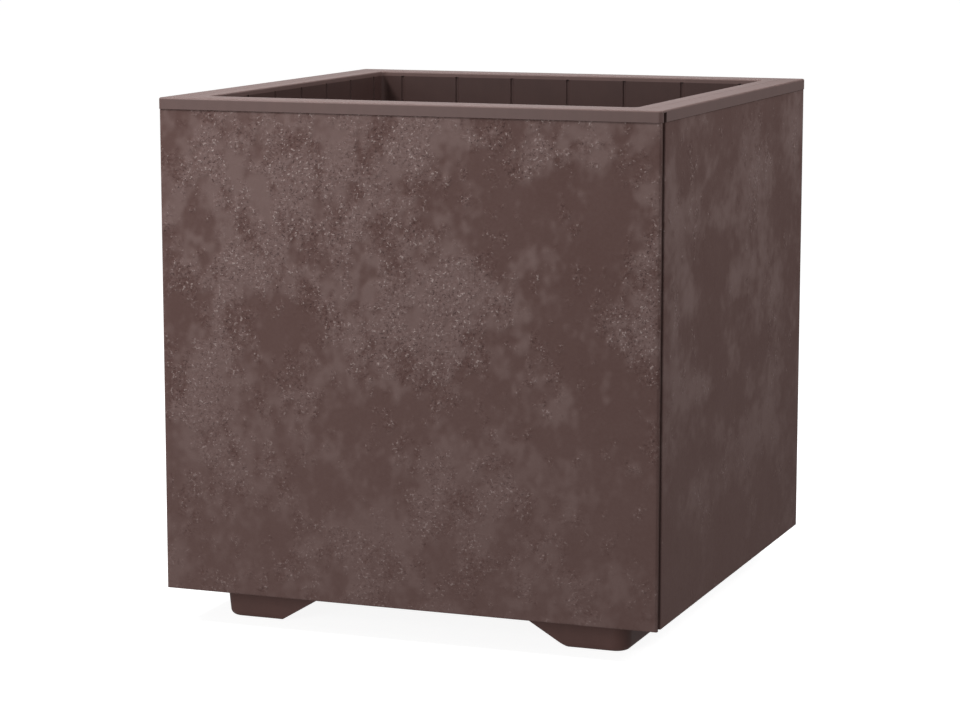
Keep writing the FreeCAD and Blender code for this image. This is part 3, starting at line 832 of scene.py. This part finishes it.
    def skin_shell(self, shell: Shell) -> None:
        """Add the skin: the relief face, its rounded edges and a flat back.

        Args:
            shell: The piece that it joins.
        """
        left_radius, right_radius = (self.cap_radius if abs(end) > self.corner
                                     else self.side_radius for end in (self.left, self.right))
        x, depth_x = self.section(self.left, self.right, left_radius, right_radius)
        z, depth_z = self.section(self.low, self.shoulder, self.shoulder_radius,
                                  self.shoulder_radius)
        grid_x, grid_z = np.meshgrid(x, z)
        depth = np.maximum(depth_x[None, :], depth_z[:, None])
        cover, grit, height = self.pattern(grid_x, grid_z)
        margin = np.minimum(np.minimum(grid_x - self.left, self.right - grid_x),
                            np.minimum(grid_z - self.low, self.shoulder - grid_z))
        fade = smooth(margin, self.fade_start, self.fade_end)
        points = np.stack([grid_x, depth - self.face - height * fade, grid_z], axis=-1)
        numbers = shell.add_points(self.turned(points), skim=cover, grit=grit)
        shell.add_grid(numbers)
        ring = np.concatenate([numbers[0, :-1], numbers[:-1, -1], numbers[-1, :0:-1],
                               numbers[:0:-1, 0]])
        shell.add_cap(ring[::-1])

    def block(self, shell: Shell, outline: list[tuple[float, float]], low: float,
              high: float) -> None:
        """Add an upright prism to the backing.

        Args:
            shell: The piece that it joins.
            outline: Points (place along the face, depth below it), anticlockwise from above.
            low: Level of its lower face.
            high: Level of its upper face.
        """
        corners = np.array([(x, depth - self.face, 0.0) for x, depth in outline])
        shell.add_prism(self.turned(corners)[:, :2], low, high)

    def backing_shell(self, shell: Shell) -> None:
        """Add the backing sheet with its tongue, sill, ribs and dovetail rails.

        Args:
            shell: The piece that they join.
        """
        inner, skin = self.sheet, self.skin
        tray_low, tray_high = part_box("base_tray")[0].z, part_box("base_tray")[1].z
        rib_low = tray_high + self.rib_clear
        sill_top = tray_low + self.rib_depth - self.rib_clear
        sill = self.corner - self.post_leg - 2 * self.rib_half
        left, right = self.left, self.right
        self.block(shell, [(left, skin), (right, skin), (right, inner), (left, inner)],
                   self.low, self.shoulder)
        left, right = left + self.tongue_inset, right - self.tongue_inset
        front = inner - self.tongue
        self.block(shell, [(left, front), (right, front), (right, inner), (left, inner)],
                   self.shoulder, self.top)
        back = inner + self.sill_depth
        self.block(shell, [(-sill, inner), (sill, inner), (sill, back), (-sill, back)],
                   sill_top - self.sill_height, sill_top)
        reach, back = int(sill / self.rib_pitch), inner + self.rib_depth
        for middle in self.rib_pitch * np.arange(-reach, reach + 1):
            left, right = middle - self.rib_half, middle + self.rib_half
            self.block(shell, [(left, inner), (right, inner), (right, back), (left, back)],
                       rib_low, self.shoulder)
        neck, tip, back = self.rail_neck, self.rail_tip, inner + self.rail_depth
        for middle in (self.rail_set - self.corner, self.corner - self.rail_set):
            self.block(shell, [(middle - neck, inner), (middle + neck, inner),
                               (middle + tip, back), (middle - tip, back)],
                       rib_low, self.shoulder)

    def build(self, finishes: Finishes) -> bpy.types.Object:
        """Build the panel, dress it and let it ride in place of its CAD node.

        Args:
            finishes: The materials.

        Returns:
            The panel.
        """
        shell = Shell()
        self.skin_shell(shell)
        self.backing_shell(shell)
        piece = shell.build(self.name + "_cement")
        finishes.dress(piece, Slot.STONE)
        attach(piece, "housing")
        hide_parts(self.name)
        LOG.info("%s: %d faces", piece.name, len(piece.data.polygons))
        return piece


@dataclass
class Panels:
    """The four wall panels."""

    def build(self, finishes: Finishes) -> None:
        """Build every panel.

        Args:
            finishes: The materials.
        """
        front = Skim(11, 0.15, BROAD_SKIM)
        right = Skim(23, -0.45, SPARE_SKIM, fine=0.6, drawn=1.6)
        back = Skim(37, 0.0, BROAD_SKIM, flipped=True)
        left = Skim(41, -0.3, SPARE_SKIM, flipped=True, fine=0.7, drawn=1.4)
        WallPanel("front_panel", 0, front).build(finishes)
        WallPanel("right_panel", 90, right).build(finishes)
        WallPanel("back_panel", 180, back).build(finishes)
        WallPanel("left_panel", 270, left).build(finishes)


# ---------------------------------------------------------------------------------------
# Studio
# ---------------------------------------------------------------------------------------


@dataclass(frozen=True)
class SoftLight:
    """A square soft light that looks at a point."""

    name: str
    place: Place
    size: float
    power: float
    target: Place = (0.0, 0.0, 0.3)

    def build(self) -> bpy.types.Object:
        """Make the light.

        Returns:
            The light's object.
        """
        data = bpy.data.lights.new(self.name, "AREA")
        data.shape, data.size, data.energy = "SQUARE", self.size, self.power
        light = bpy.data.objects.new(self.name, data)
        light.location = self.place
        aim = Vector(self.target) - Vector(self.place)
        light.rotation_euler = aim.to_track_quat("-Z", "Y").to_euler()
        bpy.context.scene.collection.objects.link(light)
        return light


@dataclass(frozen=True)
class Studio:
    """Pale floor, soft lights and the camera."""

    azimuth: float = 20.87
    elevation: float = 9.04
    distance: float = 2.3273
    target: Place = (-0.0146, 0.0, 0.185)
    lens: float = 108.98
    sensor: float = 36.0
    floor_half: float = 40.0
    floor_colour: Colour = (0.35, 0.35, 0.35)
    floor_glow: float = 0.9
    world_strength: float = 0.3
    lights: tuple[SoftLight, ...] = (
        SoftLight("key", (-0.75, -0.62, 1.35), 0.3, 18.0),
        SoftLight("front_fill", (-0.5, -1.6, 0.40), 0.7, 8.6),
        SoftLight("overhead", (0.0, 0.1, 1.5), 1.2, 15.0),
        SoftLight("right_fill", (1.15, 0.0, 1.05), 0.5, 8.0),
        SoftLight("rim_light", (-0.8, 2.0, 1.0), 1.0, 2.6),
    )

    def floor(self) -> None:
        """Make the pale floor, which is staged and not part of the object."""
        half = self.floor_half
        corners = [(-half, -half, 0.0), (half, -half, 0.0), (half, half, 0.0), (-half, half, 0.0)]
        mesh = bpy.data.meshes.new("floor")
        mesh.from_pydata(corners, [], [(0, 1, 2, 3)])
        floor = bpy.data.objects.new("floor", mesh)
        bpy.context.scene.collection.objects.link(floor)
        graph = Graph("pale_floor")
        mesh.materials.append(graph.surface(
            Base_Color=rgba(self.floor_colour), Roughness=0.9, Specular_IOR_Level=0.0,
            Emission_Color=rgba((1.0, 1.0, 1.0)), Emission_Strength=self.floor_glow))
        floor.visible_diffuse = False
        floor.visible_glossy = False

    def world(self) -> None:
        """Fill the surroundings with even white light."""
        world = bpy.data.worlds.new("studio")
        world.use_nodes = True
        background = world.node_tree.nodes["Background"]
        background.inputs["Color"].default_value = rgba((1.0, 1.0, 1.0))
        background.inputs["Strength"].default_value = self.world_strength
        bpy.context.scene.world = world

    def camera(self) -> None:
        """Stand the camera off its target along the view's azimuth and elevation."""
        data = bpy.data.cameras.new("camera")
        data.lens, data.sensor_width = self.lens, self.sensor
        camera = bpy.data.objects.new("camera", data)
        turn, rise = math.radians(self.azimuth), math.radians(self.elevation)
        back = Vector((math.sin(turn) * math.cos(rise), -math.cos(turn) * math.cos(rise),
                       math.sin(rise)))
        camera.location = Vector(self.target) + back * self.distance
        camera.rotation_euler = (-back).to_track_quat("-Z", "Y").to_euler()
        bpy.context.scene.collection.objects.link(camera)
        bpy.context.scene.camera = camera

    def build(self) -> None:
        """Set the whole studio up."""
        self.floor()
        self.world()
        self.camera()
        for light in self.lights:
            light.build()
        bpy.context.scene.view_settings.view_transform = "Standard"


def main() -> None:
    """Build the looks in order."""
    logging.basicConfig(level=logging.INFO, format="%(name)s: %(message)s")
    finishes = Finishes()
    finishes.dress_frame()
    Panels().build(finishes)
    Studio().build()


if __name__ == "__main__":
    main()
